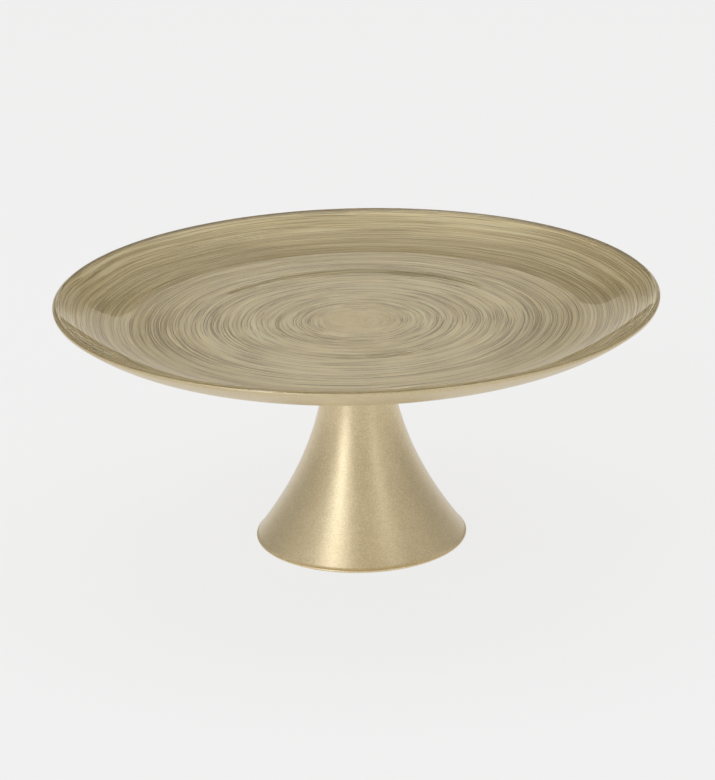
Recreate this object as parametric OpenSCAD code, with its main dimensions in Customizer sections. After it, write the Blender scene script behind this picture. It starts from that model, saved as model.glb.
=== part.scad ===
// Pedestal cake stand: a coated glass coupe plate on a spun sheet-metal foot.
// Millimetres, +Z up, origin at the centre of the base where it stands.
// The plate, the foot and everything between them share the Z axis.

/* [Overall] */
// Outside diameter of the plate, coat included
plate_d = 300; // [270:1:340]
// Height from the table to the top of the rim
stand_h = 130; // [110:1:180]

/* [Plate] */
// Thickness of the glass floor
glass_t = 3.8; // [3:0.1:5]
// Thickness of the rounded lip
lip_t = 2.8; // [2.2:0.1:3.6]
// Width of the flat floor, as a share of the plate's width
floor_share = 0.4; // [0.3:0.01:0.44]
// Where the soft step in the floor is steepest, as a share of the plate's width
step_share = 0.527; // [0.48:0.001:0.54]
// Where the soft step ends, as a share of the plate's width
rest_share = 0.573; // [0.56:0.001:0.6]
// Where the wall starts, as a share of the plate's width
wall_share = 0.733; // [0.68:0.001:0.78]
// Slope of the soft step, degrees
step_angle = 2.5; // [1.8:0.1:4]
// Slope just outside the soft step, degrees
rest_angle = 1.4; // [0.5:0.1:1.6]
// Slope where the wall starts, degrees
ease_angle = 1.9; // [1.7:0.1:4]
// Slope of the wall at the rim, degrees
wall_angle = 38; // [30:1:45]
// Thickness of each coat on the underside
coat_t = 0.3; // [0.2:0.05:0.4]

/* [Foot] */
// Outside diameter of the foot's turned edge
foot_d = 107.2; // [95:0.2:140]
// Outside diameter of the neck
neck_d = 33; // [31:0.5:44]
// Sheet thickness of the foot
shell_t = 0.8; // [0.7:0.1:1]
// Radius of the round corner at the closed top
shoulder_r = 4; // [2.5:0.5:4.5]
// Radius of the turned edge
hem_r = 0.7; // [0.6:0.05:0.9]
// Width of the flange that the turned edge makes inside
flange_w = 5.6; // [5:0.1:7]

/* [Fixing] */
// Diameter of the steel mounting disc
disc_d = 72; // [50:1:90]
// Thickness of the mounting disc
disc_t = 2.5; // [2:0.1:4]
// Thickness of the adhesive
bond_t = 0.5; // [0.3:0.1:1]
// Thickness of the soft seat washer
gasket_t = 1; // [0.5:0.1:2]
// Nominal diameter of the stud
stud_d = 7.9; // [7.8:0.1:7.9]
// Length of stud that shows below the nut
stud_show = 3; // [1.5:0.5:4]

/* [Base ring] */
// Height of the soft ring under the flange
ring_t = 1; // [0.8:0.05:1.1]
// How far the ring stands below the turned edge
ring_show = 0.4; // [0.3:0.05:0.5]

/* [Hidden] */
$fn = 128;

// plate
glass_r = plate_d / 2 - coat_t;
lip_r = lip_t / 2;
lip_cr = glass_r - lip_r;
lip_cz = stand_h - lip_r;

// The middle line of the plate is a chain of four arcs, each tangent to the next:
// radius and slope where each begins, and how many steps it is drawn in
st_r = [floor_share * plate_d / 2, step_share * plate_d / 2, rest_share * plate_d / 2,
    wall_share * plate_d / 2, lip_cr];
st_a = [0, step_angle, rest_angle, ease_angle, wall_angle];
st_n = [4, 3, 3, 16];
floor_r = st_r[0];
function arc_rad(k) = (st_r[k + 1] - st_r[k]) / (sin(st_a[k + 1]) - sin(st_a[k]));
function arc_rise(k) = arc_rad(k) * (cos(st_a[k]) - cos(st_a[k + 1]));
rise = arc_rise(0) + arc_rise(1) + arc_rise(2) + arc_rise(3);
mid_z = lip_cz - rise;

// heights of the stack, from the glass down
glass_under = mid_z - glass_t / 2;
enamel_under = glass_under - coat_t;
lacquer_under = enamel_under - coat_t;
disc_top = lacquer_under - bond_t;
disc_under = disc_top - disc_t;
foot_top = disc_under - gasket_t;
washer_top = foot_top - shell_t;
load_t = 1.5;
spring_t = 2;
nut_h = 6.5;
spring_top = washer_top - load_t;
nut_top = spring_top - spring_t;
nut_under = nut_top - nut_h;
stud_end = nut_under - stud_show;

// each step of the middle line as [radius, height, slope]
function arc_pts(k, h) = [for (i = [1:st_n[k]])
    let (a = st_a[k] + (st_a[k + 1] - st_a[k]) * i / st_n[k])
    [st_r[k] + arc_rad(k) * (sin(a) - sin(st_a[k])), h + arc_rad(k) * (cos(st_a[k]) - cos(a)), a]];
mid = concat([[floor_r, mid_z, 0]], arc_pts(0, mid_z), arc_pts(1, mid_z + arc_rise(0)),
    arc_pts(2, mid_z + arc_rise(0) + arc_rise(1)),
    arc_pts(3, mid_z + arc_rise(0) + arc_rise(1) + arc_rise(2)));
steps = len(mid) - 1;
function thick(i) = glass_t + (lip_t - glass_t) * (mid[i][0] - floor_r) / (lip_cr - floor_r);
// a point a distance d below (plus) or above (minus) the middle line
function off(i, d) = [mid[i][0] + sin(mid[i][2]) * d, mid[i][1] - cos(mid[i][2]) * d];
// the brushed coat runs out to nothing over the last steps of the wall
function fade(i) = coat_t * min(1, (steps - i) / 3);

function lip_arc(rad, from, to, n) = [for (k = [0:n])
    [lip_cr + rad * cos(from + (to - from) * k / n), lip_cz + rad * sin(from + (to - from) * k / n)]];

// foot: the outside is a parabola that stands upright at the neck
neck_r = neck_d / 2;
neck_z = foot_top - shoulder_r - 3;
hem_cr = foot_d / 2 - hem_r;
hem_cz = ring_show + hem_r;
foot_z0 = hem_cz + hem_r;
flare = (hem_cr + 0.13 - neck_r) / pow(1 - foot_z0 / neck_z, 2);
foot_n = 30;
function foot_z(i) = foot_z0 + (neck_z - foot_z0) * i / foot_n;
function foot_r(z) = neck_r + flare * pow(1 - z / neck_z, 2);
function foot_s(z) = -2 * flare / neck_z * (1 - z / neck_z);
foot_i0 = ring_t + 1.6 * shell_t;
function foot_zi(i) = foot_i0 + (neck_z - foot_i0) * i / foot_n;
function foot_in(z) = let (s = foot_s(z), n = sqrt(1 + s * s))
    [foot_r(z) - shell_t / n, z + shell_t * s / n];
flange_r = hem_cr - flange_w;
flange_z0 = ring_t;
flange_z1 = foot_in(foot_i0)[1];
hem_in = 180 + asin((hem_cz - flange_z0) / hem_r);

glass_c = [0.82, 0.90, 0.88, 0.45];
brushed_c = [0.70, 0.63, 0.50];
gold_c = [0.72, 0.65, 0.52];
steel_c = [0.72, 0.73, 0.75];
rubber_c = [0.16, 0.16, 0.16];
bond_c = [0.85, 0.85, 0.82];

// Clear glass plate with a flat floor, an upswept wall and a rounded lip
module glass_plate() color(glass_c) rotate_extrude()
    polygon(concat(
        [[0, glass_under]],
        [for (i = [0:steps - 1]) off(i, thick(i) / 2)],
        lip_arc(lip_r, wall_angle - 90, wall_angle + 90, 12),
        [for (i = [steps - 1:-1:0]) off(i, -thick(i) / 2)],
        [[0, mid_z + glass_t / 2]]));

// Brushed coat on the underside of the glass, faded out below the lip
module brushed_enamel() color(brushed_c) rotate_extrude()
    polygon(concat(
        [[0, enamel_under]],
        [for (i = [0:steps]) off(i, thick(i) / 2 + fade(i))],
        [for (i = [steps - 1:-1:0]) off(i, thick(i) / 2)],
        [[0, glass_under]]));

// Smooth coat over the brushed one, taken round the outer edge of the lip
lacquer_to = 14;
module backing_lacquer() color(gold_c) rotate_extrude()
    polygon(concat(
        [[0, lacquer_under]],
        [for (i = [0:steps - 1]) off(i, thick(i) / 2 + fade(i) + coat_t)],
        lip_arc(lip_r + coat_t, wall_angle - 90, lacquer_to, 6),
        lip_arc(lip_r, lacquer_to, wall_angle - 90, 6),
        [for (i = [steps - 1:-1:0]) off(i, thick(i) / 2 + fade(i))],
        [[0, enamel_under]]));

// Adhesive disc that holds the mounting disc
module bond_film() color(bond_c)
    translate([0, 0, disc_top]) cylinder(h = bond_t, r = disc_d / 2 - 1);

// Steel disc under the plate, with a seat for the stud's flat head
head_r = 6.5;
head_t = 1.2;
module mounting_disc() color(gold_c) difference() {
    rotate_extrude() polygon([[0, disc_under], [disc_d / 2 - 0.6, disc_under],
        [disc_d / 2, disc_under + 0.6], [disc_d / 2, disc_top - 0.4],
        [disc_d / 2 - 0.4, disc_top], [0, disc_top]]);
    translate([0, 0, disc_under - 1]) cylinder(h = disc_t + 2, r = stud_d / 2);
    translate([0, 0, disc_top - head_t]) cylinder(h = head_t + 1, r = head_r);
}

// Stud with a flat head, pressed down into the disc
module threaded_stud() color(steel_c) rotate_extrude()
    polygon([[0, stud_end], [stud_d / 2 - 1, stud_end], [stud_d / 2, stud_end + 1],
        [stud_d / 2, disc_top - head_t], [head_r, disc_top - head_t],
        [head_r, disc_top], [0, disc_top]]);

// Soft washer between the disc and the foot
module seat_gasket() color(rubber_c) rotate_extrude()
    translate([4.3, foot_top]) square([neck_r - 1 - 4.3, gasket_t]);

// Spun foot: flared skirt, closed top with one hole, edge turned under into a flange
module foot_shell() color(gold_c) rotate_extrude()
    polygon(concat(
        [[4.25, foot_top]],
        [for (k = [0:6]) let (a = 90 - 15 * k)
            [neck_r - shoulder_r + shoulder_r * cos(a), foot_top - shoulder_r + shoulder_r * sin(a)]],
        [for (i = [foot_n:-1:0]) [foot_r(foot_z(i)), foot_z(i)]],
        [for (k = [0:16]) let (a = 62 - (62 + 360 - hem_in) * k / 16)
            [hem_cr + hem_r * cos(a), hem_cz + hem_r * sin(a)]],
        [[flange_r + 0.2, flange_z0], [flange_r, flange_z0 + 0.2],
         [flange_r, flange_z1 - 0.2], [flange_r + 0.2, flange_z1]],
        [for (i = [0:foot_n]) foot_in(foot_zi(i))],
        [for (k = [6:-1:0]) let (a = 90 - 15 * k)
            [neck_r - shoulder_r + (shoulder_r - shell_t) * cos(a),
             foot_top - shoulder_r + (shoulder_r - shell_t) * sin(a)]],
        [[4.25, washer_top]]));

// Wide flat washer under the closed top
module load_washer() color(steel_c) translate([0, 0, spring_top]) difference() {
    cylinder(h = load_t, r = 11.5);
    translate([0, 0, -1]) cylinder(h = load_t + 2, r = 4.2);
}

// Spring washer with its slanting split, pulled flat
module spring_washer() color(steel_c) translate([0, 0, nut_top]) difference() {
    cylinder(h = spring_t, r = 7.4);
    translate([0, 0, -1]) cylinder(h = spring_t + 2, r = 4.1);
    translate([5.7, 0, spring_t / 2]) rotate([-25, 0, 0]) cube([6, 0.9, 6], center = true);
}

// Hexagon nut with chamfered corners
module lock_nut() color(steel_c) translate([0, 0, nut_under]) difference() {
    intersection() {
        cylinder(h = nut_h, r = 6.5 / cos(30), $fn = 6);
        rotate_extrude() polygon([[0, 0], [6.3, 0], [7.6, 0.75], [7.6, nut_h - 0.75], [6.3, nut_h], [0, nut_h]]);
    }
    translate([0, 0, -1]) cylinder(h = nut_h + 2, r = 4);
}

// Soft ring bonded under the flange, the only piece that touches the table
module base_ring() color(rubber_c) rotate_extrude()
    polygon([[flange_r + 0.9, 0.25], [flange_r + 1.15, 0], [flange_r + 3.95, 0], [flange_r + 4.2, 0.25],
        [flange_r + 4.2, ring_t], [flange_r + 0.9, ring_t]]);

glass_plate();
brushed_enamel();
backing_lacquer();
bond_film();
mounting_disc();
threaded_stud();
seat_gasket();
foot_shell();
load_washer();
spring_washer();
lock_nut();
base_ring();
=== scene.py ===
import math

import bmesh
import bpy
import numpy as np
from mathutils import Matrix, Vector


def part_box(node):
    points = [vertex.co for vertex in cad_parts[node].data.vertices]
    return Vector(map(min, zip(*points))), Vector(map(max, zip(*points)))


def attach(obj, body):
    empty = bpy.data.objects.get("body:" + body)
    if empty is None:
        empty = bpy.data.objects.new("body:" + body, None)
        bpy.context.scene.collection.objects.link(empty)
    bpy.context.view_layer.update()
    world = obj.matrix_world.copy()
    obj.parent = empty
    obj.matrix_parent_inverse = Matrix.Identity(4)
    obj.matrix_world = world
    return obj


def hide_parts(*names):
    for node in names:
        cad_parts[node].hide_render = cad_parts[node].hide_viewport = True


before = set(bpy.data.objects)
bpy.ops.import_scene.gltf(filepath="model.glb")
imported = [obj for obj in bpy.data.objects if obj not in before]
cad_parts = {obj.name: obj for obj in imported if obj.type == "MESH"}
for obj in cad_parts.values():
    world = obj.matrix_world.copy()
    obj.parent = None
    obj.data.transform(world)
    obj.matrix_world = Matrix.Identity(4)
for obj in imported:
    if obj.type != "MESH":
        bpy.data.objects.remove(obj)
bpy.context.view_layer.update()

SCENE = bpy.context.scene
TAU = 2 * math.pi
rng = np.random.default_rng(20260718)


# ---------------------------------------------------------------- frame sizes
def zlo(node):
    return float(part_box(node)[0][2])


def zhi(node):
    return float(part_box(node)[1][2])


def rad(node):
    a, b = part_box(node)
    return round(max(abs(a[0]), abs(a[1]), abs(b[0]), abs(b[1])), 4)


R_PLATE = rad("backing_lacquer")
COAT = 0.0003
R_GLASS = R_PLATE - COAT
Z_RIM = zhi("glass_plate")
GLASS_T, LIP_T = 0.0038, 0.0028
LIP_R = LIP_T / 2
LIP_CR, LIP_CZ = R_GLASS - LIP_R, Z_RIM - LIP_R
WALL_A = math.radians(38)

# the plate's middle line: four arcs, each tangent to the next
ST_R = [0.4 * R_PLATE, 0.527 * R_PLATE, 0.573 * R_PLATE, 0.733 * R_PLATE, LIP_CR]
ST_A = [math.radians(a) for a in (0, 2.5, 1.4, 1.9, 38)]


def arc(k):
    return (ST_R[k + 1] - ST_R[k]) / (math.sin(ST_A[k + 1]) - math.sin(ST_A[k]))


RISE = [arc(k) * (math.cos(ST_A[k]) - math.cos(ST_A[k + 1])) for k in range(4)]
MID_Z = LIP_CZ - sum(RISE)


def mid_line(n_flat, ns):
    """Dense middle line as arrays of radius, height and slope, from the axis to the rim."""
    r = list(np.linspace(0, ST_R[0], n_flat + 1))
    z = [MID_Z] * len(r)
    a = [0.0] * len(r)
    h = MID_Z
    for k, n in enumerate(ns):
        for i in range(1, n + 1):
            t = ST_A[k] + (ST_A[k + 1] - ST_A[k]) * i / n
            r.append(ST_R[k] + arc(k) * (math.sin(t) - math.sin(ST_A[k])))
            z.append(h + arc(k) * (math.cos(ST_A[k]) - math.cos(t)))
            a.append(t)
        h += RISE[k]
    return np.array(r), np.array(z), np.array(a)


def thick(r):
    return GLASS_T + (LIP_T - GLASS_T) * np.clip((r - ST_R[0]) / (LIP_CR - ST_R[0]), 0, 1)


def shifted(r, z, a, d):
    """Points a distance d below the middle line (minus is above)."""
    return r + np.sin(a) * d, z - np.cos(a) * d


def lip_arc(rr, a0, a1, n):
    t = np.linspace(a0, a1, n)
    return LIP_CR + rr * np.cos(t), LIP_CZ + rr * np.sin(t)


# ---------------------------------------------------------------- mesh helpers
def finish_mesh(name, verts, faces, node, body="root", sharp=None):
    me = bpy.data.meshes.new(name)
    me.from_pydata([tuple(v) for v in verts], [], faces)
    me.validate()
    bm = bmesh.new()
    bm.from_mesh(me)
    bmesh.ops.remove_doubles(bm, verts=bm.verts, dist=1e-7)
    bmesh.ops.recalc_face_normals(bm, faces=bm.faces)
    bm.to_mesh(me)
    bm.free()
    me.shade_smooth()
    if sharp is not None:
        me.set_sharp_from_angle(angle=math.radians(sharp))
    ob = bpy.data.objects.new(name, me)
    SCENE.collection.objects.link(ob)
    if node:
        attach(ob, body)
        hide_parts(node)
    return ob


def ring_grid(rows, seg, closed_profile=False):
    """rows: list of (seg,3) arrays or single points. Returns verts and faces of the joined rings."""
    verts, idx = [], []
    for row in rows:
        row = np.asarray(row, float)
        if row.ndim == 1:
            idx.append((len(verts),))
            verts.append(row)
        else:
            idx.append(tuple(range(len(verts), len(verts) + seg)))
            verts.extend(row)
    faces = []
    pairs = list(zip(idx[:-1], idx[1:]))
    if closed_profile:
        pairs.append((idx[-1], idx[0]))
    for p, q in pairs:
        if len(p) == 1 and len(q) == 1:
            continue
        for i in range(seg):
            j = (i + 1) % seg
            if len(p) == 1:
                faces.append((p[0], q[i], q[j]))
            elif len(q) == 1:
                faces.append((p[i], q[0], p[j]))
            else:
                faces.append((p[i], q[i], q[j], p[j]))
    return verts, faces


def circle_dirs(seg):
    t = np.arange(seg) * TAU / seg
    return np.cos(t), np.sin(t), t


def lathe(name, prof, seg, node, closed=False, sharp=None, wave=None):
    """A turned piece from (radius, height) points. wave(r, z, theta) may move the points a little."""
    c, s, t = circle_dirs(seg)
    rows = []
    for r, z in prof:
        if r < 1e-9:
            rows.append(np.array([0, 0, z]))
            continue
        rr, zz = np.full(seg, r), np.full(seg, z)
        if wave:
            rr, zz = wave(rr, zz, t)
        rows.append(np.stack([rr * c, rr * s, zz], 1))
    v, f = ring_grid(rows, seg, closed)
    return finish_mesh(name, v, f, node, sharp=sharp)


def fillet(points, radius, n=5):
    """Rounds the corners of a closed (radius, height) outline."""
    pts = [np.array(p, float) for p in points]
    out = []
    m = len(pts)
    for i in range(m):
        p0, p1, p2 = pts[i - 1], pts[i], pts[(i + 1) % m]
        a, b = p0 - p1, p2 - p1
        la, lb = np.linalg.norm(a), np.linalg.norm(b)
        a, b = a / la, b / lb
        ang = math.acos(max(-1, min(1, float(a @ b))))
        if ang > math.radians(172):
            out.append(tuple(p1))
            continue
        d = min(radius / math.tan(ang / 2), 0.45 * la, 0.45 * lb)
        q0, q1 = p1 + a * d, p1 + b * d
        for k in range(n + 1):
            u = k / n
            out.append(tuple((1 - u) ** 2 * q0 + 2 * u * (1 - u) * p1 + u * u * q1))
    return out


# ---------------------------------------------------------------- the brush strokes
def value_noise(u, v, nv, seed):
    """Smooth noise in -1..1 on cells of size 1 in u, and nv cells round the circle in v (0..1)."""
    g = np.random.default_rng(seed).uniform(-1, 1, (int(u.max()) + 4, nv))
    u0 = np.floor(u).astype(int)
    fu = u - u0
    vv = (v % 1.0) * nv
    v0 = np.floor(vv).astype(int) % nv
    fv = vv - np.floor(vv)
    fu = fu * fu * (3 - 2 * fu)
    fv = fv * fv * (3 - 2 * fv)
    v1 = (v0 + 1) % nv
    a = g[u0, v0] * (1 - fu) + g[u0 + 1, v0] * fu
    b = g[u0, v1] * (1 - fu) + g[u0 + 1, v1] * fu
    return a * (1 - fv) + b * fv


def smooth(x, a, b):
    t = np.clip((x - a) / (b - a), 0, 1)
    return t * t * (3 - 2 * t)


def stroke_layer(x, y, cx, cy, wob, seed):
    """One pass of the brush round the centre (cx, cy): height in -1..1, and how much of a dark line there is."""
    dx, dy = x - cx, y - cy
    th = np.arctan2(dy, dx)
    rho = np.hypot(dx, dy) * 1000
    v = th / TAU
    w = np.zeros_like(rho)
    lr = np.random.default_rng(seed + 77)
    for k in (1, 2, 3, 5):
        w += lr.uniform(0.3, 1.0) / k * np.cos(k * th + lr.uniform(0, TAU) + rho / lr.uniform(18, 40))
    rho = rho + wob * w + 3
    n1 = value_noise(rho / 1.05, v, 6, seed + 1)
    n2 = value_noise(rho / 2.1, v + 0.13, 5, seed + 2)
    n3 = value_noise(rho / 5.5, v + 0.31, 4, seed + 3)
    n4 = value_noise(rho / 13.0, v + 0.57, 5, seed + 4)
    h = 0.42 * n1 + 0.42 * n2 + 0.30 * n3
    line = smooth(value_noise(rho / 1.1, v + 0.4, 5, seed + 5), 0.50, 0.80)
    gate = smooth(value_noise(rho / 9.0, v + 0.7, 6, seed + 6), -0.15, 0.55)
    return h, line * gate, n4


def strokes(x, y):
    """Height in mm and the paint's darkness at each point of the plate."""
    h1, d1, b1 = stroke_layer(x, y, 0.0, 0.0, 0.7, 100)
    h2, d2, b2 = stroke_layer(x, y, 0.0042, -0.0030, 1.0, 200)
    h3, d3, b3 = stroke_layer(x, y, -0.0048, 0.0036, 1.2, 300)
    r = np.hypot(x, y) * 1000
    v = np.arctan2(y, x) / TAU
    m2 = smooth(value_noise(r / 22 + 2, v + 0.21, 5, 901), 0.0, 0.5)
    m3 = smooth(value_noise(r / 26 + 2, v + 0.66, 5, 902), 0.05, 0.55)
    h = h1 * (1 - 0.6 * m2) * (1 - 0.6 * m3) + h2 * m2 + h3 * m3
    dark = np.maximum(d1 * (1 - 0.7 * np.maximum(m2, m3)), np.maximum(d2 * m2, d3 * m3))
    # calm in the very middle and towards the rim
    calm = smooth(r, 8, 26) * (1 - 0.45 * smooth(r, 112, 132))
    return h * (0.25 + 0.75 * calm), dark * calm, b1


# the look of the enamel: the bright line colour is a painted highlight, the dark one a paint streak with painted shade
LINE_AMP, FINE_AMP, LINE_STREAK_SHADE, LINE_HIGHLIGHT = 0.90, 0.75, 1.0, 0.75
EN_DARK, EN_LIGHT, EN_STREAK_SHADE, EN_PAINTED_HIGHLIGHT = (0.70, 0.55, 0.255), (1.0, 0.82, 0.445), (0.36, 0.25, 0.07), (1.0, 0.92, 0.63)
EN_ROUGH, EN_METAL, EN_BUMP = 0.44, 0.45, 0.00025


# ---------------------------------------------------------------- node helpers
class Tree:
    """Small wrapper that makes shader nodes in a few words."""

    def __init__(self, nt):
        self.nt = nt
        nt.nodes.clear()

    def node(self, kind, **kw):
        n = self.nt.nodes.new(kind)
        for k, val in kw.items():
            setattr(n, k, val)
        return n

    def link(self, a, b):
        self.nt.links.new(a, b)

    def put(self, sock, val):
        if hasattr(val, "links") or isinstance(val, bpy.types.NodeSocket):
            self.link(val, sock)
        else:
            sock.default_value = val

    def math(self, op, a, b=None, c=None, clamp=False):
        n = self.node("ShaderNodeMath", operation=op, use_clamp=clamp)
        self.put(n.inputs[0], a)
        if b is not None:
            self.put(n.inputs[1], b)
        if c is not None:
            self.put(n.inputs[2], c)
        return n.outputs[0]

    def vmath(self, op, a, b=None):
        n = self.node("ShaderNodeVectorMath", operation=op)
        self.put(n.inputs[0], a)
        if b is not None:
            self.put(n.inputs[1], b)
        return n.outputs["Value"] if op in ("LENGTH", "DOT_PRODUCT") else n.outputs["Vector"]

    def noise(self, vec, scale, detail=2.0, rough=0.5, distortion=0.0):
        n = self.node("ShaderNodeTexNoise")
        self.put(n.inputs["Vector"], vec)
        n.inputs["Scale"].default_value = scale
        n.inputs["Detail"].default_value = detail
        n.inputs["Roughness"].default_value = rough
        n.inputs["Distortion"].default_value = distortion
        return n.outputs["Fac"]

    def span(self, val, a, b, c, d, kind="LINEAR"):
        n = self.node("ShaderNodeMapRange", interpolation_type=kind)
        n.clamp = True
        self.put(n.inputs["Value"], val)
        for k, x in zip(("From Min", "From Max", "To Min", "To Max"), (a, b, c, d)):
            self.put(n.inputs[k], x)
        return n.outputs["Result"]

    def mix(self, fac, a, b, blend="MIX"):
        n = self.node("ShaderNodeMix", data_type="RGBA", blend_type=blend)
        n.clamp_factor = True
        self.put(n.inputs["Factor"], fac)
        self.put(n.inputs["A"] if False else n.inputs[6], a)
        self.put(n.inputs[7], b)
        return n.outputs[2]

    def coords(self):
        return self.node("ShaderNodeTexCoord").outputs["Object"]

    def polar(self, vec, along, across, wobble=None):
        """Noise coordinates that run along circles round Z, with no seam."""
        sep = self.node("ShaderNodeSeparateXYZ")
        self.link(vec, sep.inputs[0])
        flat = self.node("ShaderNodeCombineXYZ")
        self.link(sep.outputs[0], flat.inputs[0])
        self.link(sep.outputs[1], flat.inputs[1])
        r = self.vmath("LENGTH", flat.outputs[0])
        if wobble is not None:
            r = self.math("ADD", r, wobble)
        d = self.vmath("NORMALIZE", flat.outputs[0])
        ds = self.node("ShaderNodeSeparateXYZ")
        self.link(d, ds.inputs[0])
        out = self.node("ShaderNodeCombineXYZ")
        self.link(self.math("MULTIPLY", ds.outputs[0], along), out.inputs[0])
        self.link(self.math("MULTIPLY", ds.outputs[1], along), out.inputs[1])
        self.link(self.math("MULTIPLY", r, across), out.inputs[2])
        return out.outputs[0], r

    def bump(self, height, strength, distance):
        n = self.node("ShaderNodeBump")
        n.inputs["Strength"].default_value = strength
        n.inputs["Distance"].default_value = distance
        self.link(height, n.inputs["Height"])
        return n.outputs["Normal"]


def new_material(name):
    m = bpy.data.materials.new(name)
    m.use_nodes = True
    t = Tree(m.node_tree)
    out = t.node("ShaderNodeOutputMaterial")
    p = t.node("ShaderNodeBsdfPrincipled")
    t.link(p.outputs[0], out.inputs["Surface"])
    return m, t, p


def rgb(r, g, b):
    return (r, g, b, 1.0)


def flake_gold(name, dark, light, rough, coat=0.0, coat_rough=0.3, metal=1.0, grain=1500, bump=0.25, spread=0.05):
    """Sprayed metallic paint: tiny bright flakes, a faint mottle and a fine orange peel."""
    m, t, p = new_material(name)
    v = t.coords()
    fine = t.noise(v, grain, 3.0, 0.6)
    mid = t.noise(v, grain / 6, 2.0, 0.5)
    slow = t.noise(v, 28, 2.0, 0.5)
    f = t.math("MULTIPLY_ADD", t.math("SUBTRACT", fine, 0.5), 2.2, 0.5)
    f = t.math("MULTIPLY_ADD", t.math("SUBTRACT", slow, 0.5), 0.5, f)
    f = t.math("MULTIPLY_ADD", t.math("SUBTRACT", mid, 0.5), 0.35, f, clamp=True)
    t.put(p.inputs["Base Color"], t.mix(f, dark, light))
    rr = t.math("MULTIPLY_ADD", t.math("SUBTRACT", fine, 0.5), spread * 4, rough)
    rr = t.math("MULTIPLY_ADD", t.math("SUBTRACT", slow, 0.5), spread * 1.2, rr, clamp=True)
    t.put(p.inputs["Roughness"], rr)
    p.inputs["Metallic"].default_value = metal
    p.inputs["Coat Weight"].default_value = coat
    p.inputs["Coat Roughness"].default_value = coat_rough
    t.put(p.inputs["Normal"], t.bump(fine, bump, 0.00006))
    return m


def stroke_shade_highlight_pair(t, n, half):
    """A thin dark line with a thin bright one beside it, wherever the noise crosses its middle value: a painted shade
    and a painted highlight of a groove, the dark side partly a real paint streak.
    """
    d = t.math("DIVIDE", t.math("SUBTRACT", n, 0.5), half)
    d = t.math("MAXIMUM", t.math("MINIMUM", d, 1.0), -1.0)
    return t.math("SINE", t.math("MULTIPLY", d, math.pi))


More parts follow.
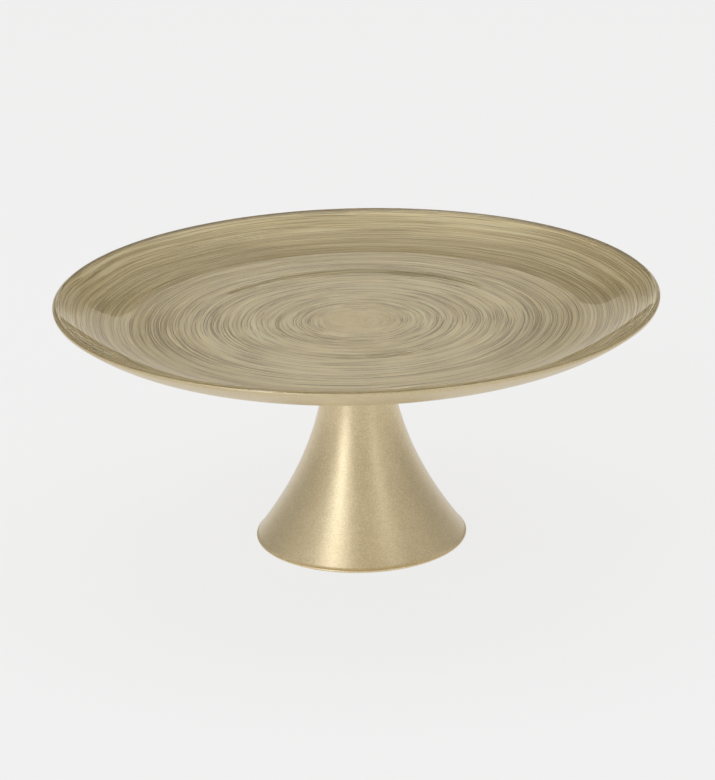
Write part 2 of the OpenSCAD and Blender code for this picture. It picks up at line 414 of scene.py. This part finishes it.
def brushed_gold(name):
    """Hand-brushed metallic enamel: strokes from the mesh's own stroke layer, finer bristle lines from polar noise,
    drawn as paint streaks with painted shade and painted highlight beside them.
    """
    m, t, p = new_material(name)
    v = t.coords()
    wob = t.math("MULTIPLY", t.math("SUBTRACT", t.noise(v, 16, 2.0), 0.5), 0.0030)
    off = t.vmath("ADD", v, (0.0047, -0.0038, 0.0))
    line = t.noise(t.polar(v, 0.8, 860.0, wob)[0], 1.0, 1.0, 0.5)
    fine = t.noise(t.polar(v, 1.3, 1650.0, wob)[0], 1.0, 1.0, 0.5)
    cross = t.noise(t.polar(off, 0.9, 820.0, wob)[0], 1.0, 1.0, 0.5)
    hair = t.noise(t.polar(v, 1.6, 2600.0, wob)[0], 1.0, 1.0, 0.5)
    band = t.noise(t.polar(v, 0.6, 330.0, wob)[0], 1.0, 2.0, 0.5)
    group = t.noise(t.polar(v, 1.1, 62.0)[0], 1.0, 1.0, 0.5)
    where = t.span(t.noise(v, 15, 1.0), 0.56, 0.64, 0.0, 1.0)
    grain = t.noise(v, 1500, 2.0, 0.6)
    rho = t.polar(v, 1.0, 1.0)[1]
    heart = t.span(rho, 0.010, 0.026, 0.22, 1.0)
    floor_only = t.span(rho, 0.100, 0.120, 1.0, 0.28)
    att = t.node("ShaderNodeAttribute", attribute_name="stroke")
    sep = t.node("ShaderNodeSeparateColor")
    t.link(att.outputs["Color"], sep.inputs[0])
    dark, high, slow = sep.outputs[0], sep.outputs[1], sep.outputs[2]
    # the paint's lines, -1 dark to 1 bright: dark is a paint streak with painted groove shade, bright is a painted
    # highlight on the ridge
    g1 = t.math("MULTIPLY", stroke_shade_highlight_pair(t, line, 0.15), t.math("MULTIPLY", t.span(group, 0.38, 0.58, 0.35, 1.0), floor_only))
    g2 = t.math("MULTIPLY", stroke_shade_highlight_pair(t, fine, 0.17), t.span(rho, 0.100, 0.120, FINE_AMP, FINE_AMP * 0.85))
    g3 = t.math("MULTIPLY", stroke_shade_highlight_pair(t, cross, 0.15), t.math("MULTIPLY", where, 0.5))
    g = t.math("MULTIPLY_ADD", g1, LINE_AMP, g2)
    g = t.math("ADD", g, g3)
    g = t.math("MULTIPLY_ADD", t.math("SUBTRACT", hair, 0.5), 0.9, g)
    g = t.math("MULTIPLY", g, heart)
    # tone of the paint: random bands, grain and mottle, lighter where the relief stands high, darker up the wall as
    # painted shade, lighter again near the rim and darker in the middle
    f = t.math("MULTIPLY_ADD", t.math("SUBTRACT", band, 0.5), 0.50, 0.66)
    f = t.math("MULTIPLY_ADD", t.math("SUBTRACT", high, 0.5), 0.15, f)
    f = t.math("MULTIPLY_ADD", t.math("SUBTRACT", grain, 0.5), 0.8, f)
    # painted shade: darker up the wall
    f = t.math("ADD", t.span(rho, 0.085, 0.134, 0.22, -0.44, "SMOOTHSTEP"), f)
    f = t.math("ADD", t.span(rho, 0.130, 0.141, 0.0, 0.55, "SMOOTHSTEP"), f)
    f = t.math("ADD", t.span(rho, 0.004, 0.034, -0.55, 0.0, "SMOOTHSTEP"), f)
    f = t.math("MULTIPLY_ADD", t.math("SUBTRACT", slow, 0.5), 0.15, f, clamp=True)
    col = t.mix(f, rgb(*EN_DARK), rgb(*EN_LIGHT))
    low = t.math("MULTIPLY", g, -LINE_STREAK_SHADE, clamp=True)
    low = t.math("MAXIMUM", low, t.math("MULTIPLY", dark, 0.12))
    # dark side: paint streak with painted shade; bright side: painted highlight
    col = t.mix(t.math("MULTIPLY", low, 0.97), col, rgb(*EN_STREAK_SHADE))
    col = t.mix(t.math("MULTIPLY", g, LINE_HIGHLIGHT, clamp=True), col, rgb(*EN_PAINTED_HIGHLIGHT))
    t.put(p.inputs["Base Color"], col)
    rr = t.math("MULTIPLY_ADD", t.math("SUBTRACT", grain, 0.5), 0.2, EN_ROUGH)
    rr = t.math("MULTIPLY_ADD", g, 0.04, rr, clamp=True)
    t.put(p.inputs["Roughness"], rr)
    p.inputs["Metallic"].default_value = EN_METAL
    hh = t.math("MULTIPLY_ADD", grain, 0.15, t.math("MULTIPLY", g, 0.5))
    t.put(p.inputs["Normal"], t.bump(hh, 1.0, EN_BUMP))
    return m


def clear_glass(name):
    m, t, p = new_material(name)
    v = t.coords()
    slow = t.noise(v, 14, 2.0, 0.5)
    t.put(p.inputs["Base Color"], t.mix(slow, rgb(0.985, 0.992, 0.985), rgb(0.995, 0.998, 0.994)))
    p.inputs["Transmission Weight"].default_value = 1.0
    p.inputs["IOR"].default_value = 1.5
    p.inputs["Roughness"].default_value = 0.0
    return m


def zinc(name, lo, hi, rough):
    m, t, p = new_material(name)
    v = t.coords()
    pv, _ = t.polar(v, 3.0, 3000.0)
    line = t.noise(pv, 1.0, 2.0)
    blot = t.noise(v, 320, 3.0, 0.6)
    f = t.math("MULTIPLY_ADD", line, 0.6, t.math("MULTIPLY", blot, 0.5), clamp=True)
    t.put(p.inputs["Base Color"], t.mix(f, lo, hi))
    t.put(p.inputs["Roughness"], t.span(blot, 0.3, 0.7, rough - 0.06, rough + 0.1))
    p.inputs["Metallic"].default_value = 1.0
    t.put(p.inputs["Normal"], t.bump(line, 0.15, 0.00005))
    return m


def soft_rubber(name, lo, hi, rough=0.7):
    m, t, p = new_material(name)
    v = t.coords()
    fine = t.noise(v, 1400, 3.0, 0.6)
    slow = t.noise(v, 90, 2.0, 0.5)
    f = t.math("MULTIPLY_ADD", fine, 0.5, t.math("MULTIPLY", slow, 0.5), clamp=True)
    t.put(p.inputs["Base Color"], t.mix(f, lo, hi))
    t.put(p.inputs["Roughness"], t.span(slow, 0.3, 0.7, rough - 0.08, rough + 0.08))
    t.put(p.inputs["Normal"], t.bump(fine, 0.3, 0.0001))
    return m


M_GLASS = clear_glass("clear_pressed_glass")
M_BRUSH = brushed_gold("brushed_gold_enamel")
M_LACQ = flake_gold("smooth_gold_lacquer", rgb(0.515, 0.415, 0.235), rgb(0.72, 0.605, 0.39), 0.42, coat=0.3, coat_rough=0.30)
M_FOOT = flake_gold("champagne_gold_foot", rgb(0.60, 0.475, 0.26), rgb(0.88, 0.735, 0.47), 0.41, coat=1.0, coat_rough=0.36, metal=0.8)
M_DISC = flake_gold("gold_coated_disc", rgb(0.50, 0.41, 0.23), rgb(0.72, 0.60, 0.38), 0.42)
M_ZINC = zinc("zinc_plate", rgb(0.52, 0.53, 0.55), rgb(0.80, 0.81, 0.83), 0.28)
M_SPRING = zinc("spring_steel", rgb(0.30, 0.30, 0.31), rgb(0.52, 0.52, 0.53), 0.38)
M_SEAT = soft_rubber("black_seat_rubber", rgb(0.018, 0.018, 0.018), rgb(0.045, 0.044, 0.042))
M_RING = soft_rubber("grey_soft_ring", rgb(0.16, 0.15, 0.13), rgb(0.27, 0.26, 0.23), 0.6)
M_BOND = soft_rubber("cured_adhesive", rgb(0.62, 0.60, 0.50), rgb(0.76, 0.74, 0.66), 0.5)


def dress(ob, mat):
    ob.data.materials.clear()
    ob.data.materials.append(mat)


# ---------------------------------------------------------------- glass plate
gr, gz, ga = mid_line(14, (12, 10, 14, 72))
gt = thick(gr) / 2
ub_r, ub_z = shifted(gr, gz, ga, gt)
ut_r, ut_z = shifted(gr, gz, ga, -gt)
la_r, la_z = lip_arc(LIP_R, WALL_A - math.pi / 2, WALL_A + math.pi / 2, 26)
prof = list(zip(ub_r[:-1], ub_z[:-1])) + list(zip(la_r, la_z)) + list(zip(ut_r[-2::-1], ut_z[-2::-1]))


def ripple(x, y):
    return 0.000006 * (
        np.sin(x * 210 + 1.3 + 2 * np.sin(y * 90)) + np.sin(y * 260 + 0.4 + 2 * np.sin(x * 70 + 1)) + 0.6 * np.sin((x + y) * 390)
    )


def glass_wave(r, z, t):
    top = z > np.interp(r, gr, gz)
    fade = np.clip((R_GLASS - 0.004 - r) / 0.02, 0, 1)
    return r, z + np.where(top, ripple(r * np.cos(t), r * np.sin(t)) * fade, 0)


glass = lathe("glass_plate_clear", prof, 288, "glass_plate", wave=glass_wave)
dress(glass, M_GLASS)

# ---------------------------------------------------------------- brushed enamel
SEG = 288
N_R = 284
fr, fz, fa = mid_line(60, (40, 20, 60, 300))
s_len = np.concatenate([[0], np.cumsum(np.hypot(np.diff(fr), np.diff(fz)))])
s_top = np.linspace(0.0006, s_len[-1] - 0.0002, N_R)
er, ez, ea = (np.interp(s_top, s_len, q) for q in (fr, fz, fa))
c, s, th = circle_dirs(SEG)
X, Y = er[:, None] * c[None, :], er[:, None] * s[None, :]
H, D, B = strokes(X, Y)
EMBED = 0.00010
AMP = 0.000050
edge = np.clip((s_len[-1] - s_top) / 0.006, 0, 1)[:, None]
depth = thick(er)[:, None] / 2 - EMBED - 0.00002 + H * AMP * edge
Rr = er[:, None] + np.sin(ea)[:, None] * depth
Zz = ez[:, None] - np.cos(ea)[:, None] * depth
rows = [np.array([0, 0, MID_Z - GLASS_T / 2 + EMBED])]
for i in range(N_R):
    rows.append(np.stack([Rr[i] * c, Rr[i] * s, Zz[i]], 1))
br, bz, ba = mid_line(4, (4, 3, 3, 16))
for i in range(len(br) - 1, 0, -1):
    d = float(thick(br[i])) / 2 + COAT * min(1, (len(br) - 1 - i) / 3) + 0.00001
    rr, zz = br[i] + math.sin(ba[i]) * d, bz[i] - math.cos(ba[i]) * d
    rows.append(np.stack([rr * c, rr * s, np.full(SEG, zz)], 1))
rows.append(np.array([0, 0, MID_Z - GLASS_T / 2 - COAT]))
v, f = ring_grid(rows, SEG)
enamel = finish_mesh("brushed_enamel_coat", v, f, "brushed_enamel")
dress(enamel, M_BRUSH)
# the stroke layer, kept on the points: dark lines, height and slow tone
co = np.zeros(len(enamel.data.vertices) * 3)
enamel.data.vertices.foreach_get("co", co)
co = co.reshape(-1, 3)
Hh, Dd, Bb = strokes(co[:, 0], co[:, 1])
att = enamel.data.color_attributes.new(name="stroke", type="FLOAT_COLOR", domain="POINT")
vals = np.stack([Dd, np.clip(0.5 + 0.5 * Hh, 0, 1), np.clip(0.5 + 0.5 * Bb, 0, 1), np.ones_like(Dd)], 1)
att.data.foreach_set("color", vals.astype(np.float32).ravel())

# ---------------------------------------------------------------- backing lacquer
lr, lz, la = mid_line(6, (8, 6, 8, 60))
n = len(lr)
fade_l = np.minimum(1, (lr[-1] - lr) / 0.012) * COAT
lt = thick(lr) / 2
out_r, out_z = shifted(lr, lz, la, lt + fade_l + COAT)
in_r, in_z = shifted(lr, lz, la, lt + fade_l - 0.00002)
LACQ_TO = math.radians(14)
oa_r, oa_z = lip_arc(LIP_R + COAT, WALL_A - math.pi / 2, LACQ_TO, 14)
ia_r, ia_z = lip_arc(LIP_R - 0.00008, LACQ_TO, WALL_A - math.pi / 2, 14)
prof = (
    list(zip(out_r[:-1], out_z[:-1]))
    + list(zip(oa_r, oa_z))
    + [(LIP_CR + (LIP_R + COAT * 0.5) * math.cos(LACQ_TO + 0.12), LIP_CZ + (LIP_R + COAT * 0.5) * math.sin(LACQ_TO + 0.12))]
    + list(zip(ia_r, ia_z))
    + list(zip(in_r[-2::-1], in_z[-2::-1]))
)
lacquer = lathe("backing_lacquer_coat", prof, 288, "backing_lacquer")
dress(lacquer, M_LACQ)

# ---------------------------------------------------------------- bond film, disc, stud
d_lo, d_hi = zlo("mounting_disc"), zhi("mounting_disc")
d_r = rad("mounting_disc")
b_r, b_lo, b_hi = rad("bond_film"), zlo("bond_film"), zhi("bond_film")


def squeeze(r, z, t):
    k = (r > b_r * 0.9) * (0.00035 * np.sin(5 * t + 1) + 0.00022 * np.sin(11 * t) + 0.00015 * np.sin(23 * t + 2))
    return r - 0.0002 + k, z


h = b_hi - b_lo
prof = [(0, b_lo), (b_r - 0.0008, b_lo), (b_r - 0.0002, b_lo + 0.15 * h), (b_r - 0.0004, b_lo + 0.5 * h), (b_r - 0.0002, b_lo + 0.85 * h), (b_r - 0.0008, b_hi), (0, b_hi)]
dress(lathe("bond_film_disc", prof, 160, "bond_film", wave=squeeze), M_BOND)

stud_r = 0.00395
head_r, head_t = 0.0065, 0.0012
prof = fillet([(stud_r, d_lo), (d_r, d_lo), (d_r, d_hi), (head_r, d_hi), (head_r, d_hi - head_t), (stud_r, d_hi - head_t)], 0.0004, 4)
dress(lathe("mounting_disc_steel", prof, 160, "mounting_disc", closed=True, sharp=50), M_DISC)

s_lo, s_hi = zlo("threaded_stud"), zhi("threaded_stud")
PITCH = 0.00125
seg = 56
c2, s2, t2 = circle_dirs(seg)
rows = [np.array([0, 0, s_lo])]
zs = np.arange(s_lo, d_lo - 0.0002, 0.00013)
for z in zs:
    ph = ((z / PITCH) - t2 / TAU) % 1.0
    tri = 1 - np.abs(2 * ph - 1)
    cut = smooth(tri, 0.1, 0.9) * 0.00066
    tip = min(1, (z - s_lo) / 0.0011)
    cap = stud_r - 0.0009 * (1 - tip)
    rr = np.minimum(stud_r - cut, cap)
    rows.append(np.stack([rr * c2, rr * s2, np.full(seg, z)], 1))
for r_, z_ in ((stud_r, d_lo), (stud_r, d_hi - head_t), (head_r - 0.0002, d_hi - head_t), (head_r, d_hi - head_t + 0.0002), (head_r, d_hi - 0.0002), (head_r - 0.0002, d_hi)):
    rows.append(np.stack([r_ * c2, r_ * s2, np.full(seg, z_)], 1))
rows.append(np.array([0, 0, d_hi]))
v, f = ring_grid(rows, seg)
dress(finish_mesh("threaded_stud_m8", v, f, "threaded_stud", sharp=45), M_ZINC)

# ---------------------------------------------------------------- gasket, washers, nut
g_lo, g_hi, g_r = zlo("seat_gasket"), zhi("seat_gasket"), rad("seat_gasket")
gm = (g_lo + g_hi) / 2
prof = [(0.0043, g_lo), (g_r - 0.0006, g_lo), (g_r - 0.0002, g_lo + 0.0002), (g_r - 0.00002, gm), (g_r - 0.0002, g_hi - 0.0002), (g_r - 0.0006, g_hi), (0.0043, g_hi)]
dress(lathe("seat_gasket_ring", prof, 128, "seat_gasket", closed=True, sharp=50), M_SEAT)

w_lo, w_hi, w_r = zlo("load_washer"), zhi("load_washer"), rad("load_washer")
prof = fillet([(0.0042, w_lo), (w_r, w_lo), (w_r, w_hi), (0.0042, w_hi)], 0.00025, 4)
dress(lathe("load_washer_flat", prof, 128, "load_washer", closed=True, sharp=40), M_ZINC)

p_lo, p_hi, p_r = zlo("spring_washer"), zhi("spring_washer"), rad("spring_washer")
p_in = 0.0041
sec = fillet([(p_in, p_lo), (p_r, p_lo), (p_r, p_hi), (p_in, p_hi)], 0.0002, 3)
m_seg = 120
verts, faces = [], []
gap = 0.00046
for k in range(m_seg + 1):
    for r_, z_ in sec:
        # the split slants, so its two ends lean with the height
        lean = math.tan(math.radians(25)) * (z_ - (p_lo + p_hi) / 2)
        a0 = (gap + lean) / r_
        a1 = TAU + (-gap + lean) / r_
        a = a0 + (a1 - a0) * k / m_seg
        verts.append((r_ * math.cos(a), r_ * math.sin(a), z_))
ns = len(sec)
for k in range(m_seg):
    for i in range(ns):
        j = (i + 1) % ns
        faces.append((k * ns + i, k * ns + j, (k + 1) * ns + j, (k + 1) * ns + i))
faces.append(tuple(range(ns)))
faces.append(tuple(m_seg * ns + i for i in range(ns - 1, -1, -1)))
dress(finish_mesh("spring_washer_split", verts, faces, "spring_washer", sharp=40), M_SPRING)

n_lo, n_hi = zlo("lock_nut"), zhi("lock_nut")
seg = 96
c3, s3, t3 = circle_dirs(seg)
hexr = 0.0065 / np.cos(((t3 + math.pi / 6) % (math.pi / 3)) - math.pi / 6)


def nut_cap(z):
    e = min(z - n_lo, n_hi - z)
    return 0.0063 + (0.0076 - 0.0063) * min(1, e / 0.00075)


rows = []
for z in (n_lo, *np.linspace(n_lo + 0.0001, n_lo + 0.0008, 6), (n_lo + n_hi) / 2, *np.linspace(n_hi - 0.0008, n_hi - 0.0001, 6), n_hi):
    rr = np.minimum(hexr, nut_cap(z))
    rows.append(np.stack([rr * c3, rr * s3, np.full(seg, z)], 1))
for r_, z_ in ((0.0046, n_hi), (0.00402, n_hi - 0.0006), (0.00402, n_lo + 0.0006), (0.0046, n_lo)):
    rows.append(np.stack([r_ * c3, r_ * s3, np.full(seg, z_)], 1))
v, f = ring_grid(rows, seg, closed_profile=True)
dress(finish_mesh("lock_nut_hex", v, f, "lock_nut", sharp=25), M_ZINC)

# ---------------------------------------------------------------- foot
F_TOP, F_LO, F_R = zhi("foot_shell"), zlo("foot_shell"), rad("foot_shell")
NECK_R, SHELL, SHO, HEM = 0.0165, 0.0008, 0.004, 0.0007
NECK_Z = F_TOP - SHO - 0.003
HEM_CR, HEM_CZ = F_R - HEM, F_LO + HEM
Z0 = HEM_CZ + HEM
FLARE = (HEM_CR + 0.00013 - NECK_R) / (1 - Z0 / NECK_Z) ** 2
RING_T = 0.001


def foot_r(z):
    return NECK_R + FLARE * (1 - z / NECK_Z) ** 2


def foot_s(z):
    return -2 * FLARE / NECK_Z * (1 - z / NECK_Z)


def foot_in(z):
    q = foot_s(z)
    k = math.hypot(1, q)
    return foot_r(z) - SHELL / k, z + SHELL * q / k


prof = [(0.00425, F_TOP)]
for k in range(13):
    a = math.radians(90 - 7.5 * k)
    prof.append((NECK_R - SHO + SHO * math.cos(a), F_TOP - SHO + SHO * math.sin(a)))
for z in np.linspace(NECK_Z, Z0, 90):
    prof.append((foot_r(z), z))
HEM_IN = math.pi + math.asin((HEM_CZ - RING_T) / HEM)
for a in np.linspace(math.radians(62), HEM_IN - TAU, 22):
    prof.append((HEM_CR + HEM * math.cos(a), HEM_CZ + HEM * math.sin(a)))
FL_R = HEM_CR - 0.0056
ZI0 = RING_T + 1.6 * SHELL
fi = foot_in(ZI0)
prof += [(FL_R + 0.0002, RING_T), (FL_R + 0.00004, RING_T + 0.00008), (FL_R, RING_T + 0.0002), (FL_R, fi[1] - 0.0002), (FL_R + 0.0001, fi[1] - 0.00005), (FL_R + 0.0003, fi[1])]
for z in np.linspace(ZI0, NECK_Z, 60):
    prof.append(foot_in(z))
for k in range(12, -1, -1):
    a = math.radians(90 - 7.5 * k)
    prof.append((NECK_R - SHO + (SHO - SHELL) * math.cos(a), F_TOP - SHO + (SHO - SHELL) * math.sin(a)))
prof.append((0.00425, F_TOP - SHELL))
foot = lathe("foot_shell_spun", prof, 224, "foot_shell", closed=True, sharp=40)
dress(foot, M_FOOT)

# ---------------------------------------------------------------- base ring
r_lo, r_hi, r_r = zlo("base_ring"), zhi("base_ring"), rad("base_ring")
r_in = r_r - 0.0033
prof = fillet([(r_in, r_lo), (r_r, r_lo), (r_r, r_hi), (r_in, r_hi)], 0.00028, 5)
dress(lathe("base_ring_soft", prof, 192, "base_ring", closed=True, sharp=60), M_RING)

# ---------------------------------------------------------------- floor
FLOOR_GLOW = 0.87
bpy.ops.mesh.primitive_grid_add(x_subdivisions=8, y_subdivisions=8, size=16, location=(0, 0, -0.00002))
floor = bpy.context.object
floor.name = "studio_floor"
fm = bpy.data.materials.new("pale_floor")
fm.use_nodes = True
t = Tree(fm.node_tree)
o = t.node("ShaderNodeOutputMaterial")
di = t.node("ShaderNodeBsdfDiffuse")
v = t.coords()
t.put(di.inputs["Color"], t.mix(t.noise(v, 3.0, 2.0), rgb(0.80, 0.80, 0.80), rgb(0.81, 0.81, 0.81)))
em = t.node("ShaderNodeEmission")
em.inputs["Color"].default_value = rgb(1, 1, 1)
em.inputs["Strength"].default_value = 0.905
mx = t.node("ShaderNodeMixShader")
mx.inputs[0].default_value = FLOOR_GLOW
t.link(di.outputs[0], mx.inputs[1])
t.link(em.outputs[0], mx.inputs[2])
t.link(mx.outputs[0], o.inputs["Surface"])
floor.data.materials.append(fm)

# ---------------------------------------------------------------- world: a pale sweep with a dimmer room above its edge
ABOVE = [(0, (0.34, 0.335, 0.325)), (0.3, (0.34, 0.335, 0.325)), (0.4, (0.27, 0.266, 0.258)), (0.55, (0.60, 0.591, 0.573)), (0.7, (0.88, 0.867, 0.84)), (0.85, (1.48, 1.46, 1.41)), (1, (1.5, 1.48, 1.43))]
FRONT = [(0, (0.57, 0.561, 0.544)), (0.3, (0.57, 0.561, 0.544)), (0.6, (0.44, 0.433, 0.42)), (0.85, (0.36, 0.355, 0.344)), (1, (0.4, 0.394, 0.382))]
world = bpy.data.worlds.new("studio")
SCENE.world = world
world.use_nodes = True
t = Tree(world.node_tree)
out = t.node("ShaderNodeOutputWorld")
bg = t.node("ShaderNodeBackground")
t.link(bg.outputs[0], out.inputs["Surface"])
tc = t.node("ShaderNodeTexCoord")
sp = t.node("ShaderNodeSeparateXYZ")
t.link(t.vmath("NORMALIZE", tc.outputs["Generated"]), sp.inputs[0])


def ramp(val, stops):
    n = t.node("ShaderNodeValToRGB")
    e = n.color_ramp.elements
    while len(e) > 1:
        e.remove(e[-1])
    e[0].position, e[0].color = stops[0][0], rgb(*stops[0][1])
    for pos, col in stops[1:]:
        x = e.new(pos)
        x.color = rgb(*col)
    t.link(val, n.inputs[0])
    return n.outputs[0]


dx, dy, dz = sp.outputs
back = ramp(dz, ABOVE)
front = ramp(dz, FRONT)
side = t.span(dy, -0.25, 0.12, 0.0, 1.0, "SMOOTHSTEP")
studio = t.mix(side, front, back)
lp = t.node("ShaderNodeLightPath")
t.put(bg.inputs["Color"], t.mix(lp.outputs["Is Camera Ray"], studio, rgb(0.871, 0.871, 0.871)))
bg.inputs["Strength"].default_value = 1.0


# ---------------------------------------------------------------- backdrop card: crisp top edge, fading to its sides
CARD_Y, CARD_TOP = 2.0, 0.83
CARD_MID, CARD_SIDE = (0.86, 0.82, 0.73), (0.40, 0.385, 0.345)
bpy.ops.mesh.primitive_grid_add(x_subdivisions=24, y_subdivisions=6, size=1, location=(0, CARD_Y, CARD_TOP / 2), rotation=(math.pi / 2, 0, 0))
card = bpy.context.object
card.name = "studio_backdrop"
card.scale = (7.0, CARD_TOP, 1)
card.visible_camera = False
card.visible_shadow = False
cm = bpy.data.materials.new("pale_backdrop")
cm.use_nodes = True
t = Tree(cm.node_tree)
o = t.node("ShaderNodeOutputMaterial")
sp = t.node("ShaderNodeSeparateXYZ")
t.link(t.node("ShaderNodeNewGeometry").outputs["Position"], sp.inputs[0])
ax = t.math("ABSOLUTE", sp.outputs[0])
wide = t.span(ax, 0.12, 0.40, 0.0, 1.0, "SMOOTHSTEP")
topfade = t.span(sp.outputs[2], 0.10, CARD_TOP, 1.0, 0.0, "SMOOTHSTEP")
fade = t.math("MULTIPLY_ADD", t.math("SUBTRACT", topfade, 1.0), wide, 1.0)
em = t.node("ShaderNodeEmission")
t.put(em.inputs["Color"], t.mix(fade, rgb(0.34, 0.335, 0.325), t.mix(wide, rgb(*CARD_MID), rgb(*CARD_SIDE))))
t.link(em.outputs[0], o.inputs["Surface"])
card.data.materials.append(cm)


# ---------------------------------------------------------------- lamps
def softbox(name, az, el, dist, w, hgt, radiance, color=(1, 1, 1), target=(0, 0, 0.06)):
    """An area lamp at azimuth az (0 is the camera side, plus is to the right) and elevation el, facing the stand."""
    a, e = math.radians(az), math.radians(el)
    d = Vector((math.sin(a) * math.cos(e), -math.cos(a) * math.cos(e), math.sin(e)))
    li = bpy.data.lights.new(name, "AREA")
    li.shape = "RECTANGLE"
    li.size, li.size_y = w, hgt
    li.energy = radiance * math.pi * w * hgt
    li.color = color
    ob = bpy.data.objects.new(name, li)
    ob.location = Vector(target) + d * dist
    ob.rotation_mode = "QUATERNION"
    ob.rotation_quaternion = d.to_track_quat("Z", "Y")
    ob.visible_camera = False
    SCENE.collection.objects.link(ob)
    return ob


softbox("key_strip", -37, 27, 2.4, 0.50, 1.9, 4.9, (0.93, 1.0, 1.12))
softbox("fill_strip", 36, 26, 2.4, 0.36, 1.6, 1.75, (0.94, 1.0, 1.10))


# ---------------------------------------------------------------- camera
ELEV, DIST, F_PX, ROLL = 0.34305, 1.365, 2717.15, -0.02334
AIM = Vector((-0.0004, 0, 0.07737))
cam_data = bpy.data.cameras.new("camera")
cam = bpy.data.objects.new("camera", cam_data)
SCENE.collection.objects.link(cam)
pos = AIM + DIST * Vector((0, -math.cos(ELEV), math.sin(ELEV)))
fwd = (AIM - pos).normalized()
right = fwd.cross(Vector((0, 0, 1))).normalized()
up = right.cross(fwd)
cr, sr = math.cos(ROLL), math.sin(ROLL)
r2 = cr * right + sr * up
u2 = -sr * right + cr * up
cam.matrix_world = Matrix.Translation(pos) @ Matrix((r2, u2, -fwd)).transposed().to_4x4()
cam_data.sensor_fit = "AUTO"
cam_data.sensor_width = 36.0
cam_data.lens = F_PX * 36.0 / 780
cam_data.clip_start, cam_data.clip_end = 0.05, 60
SCENE.camera = cam

SCENE.view_settings.view_transform = "Standard"
SCENE.view_settings.look = "None"
SCENE.view_settings.exposure = 0.0
SCENE.view_settings.gamma = 1.0
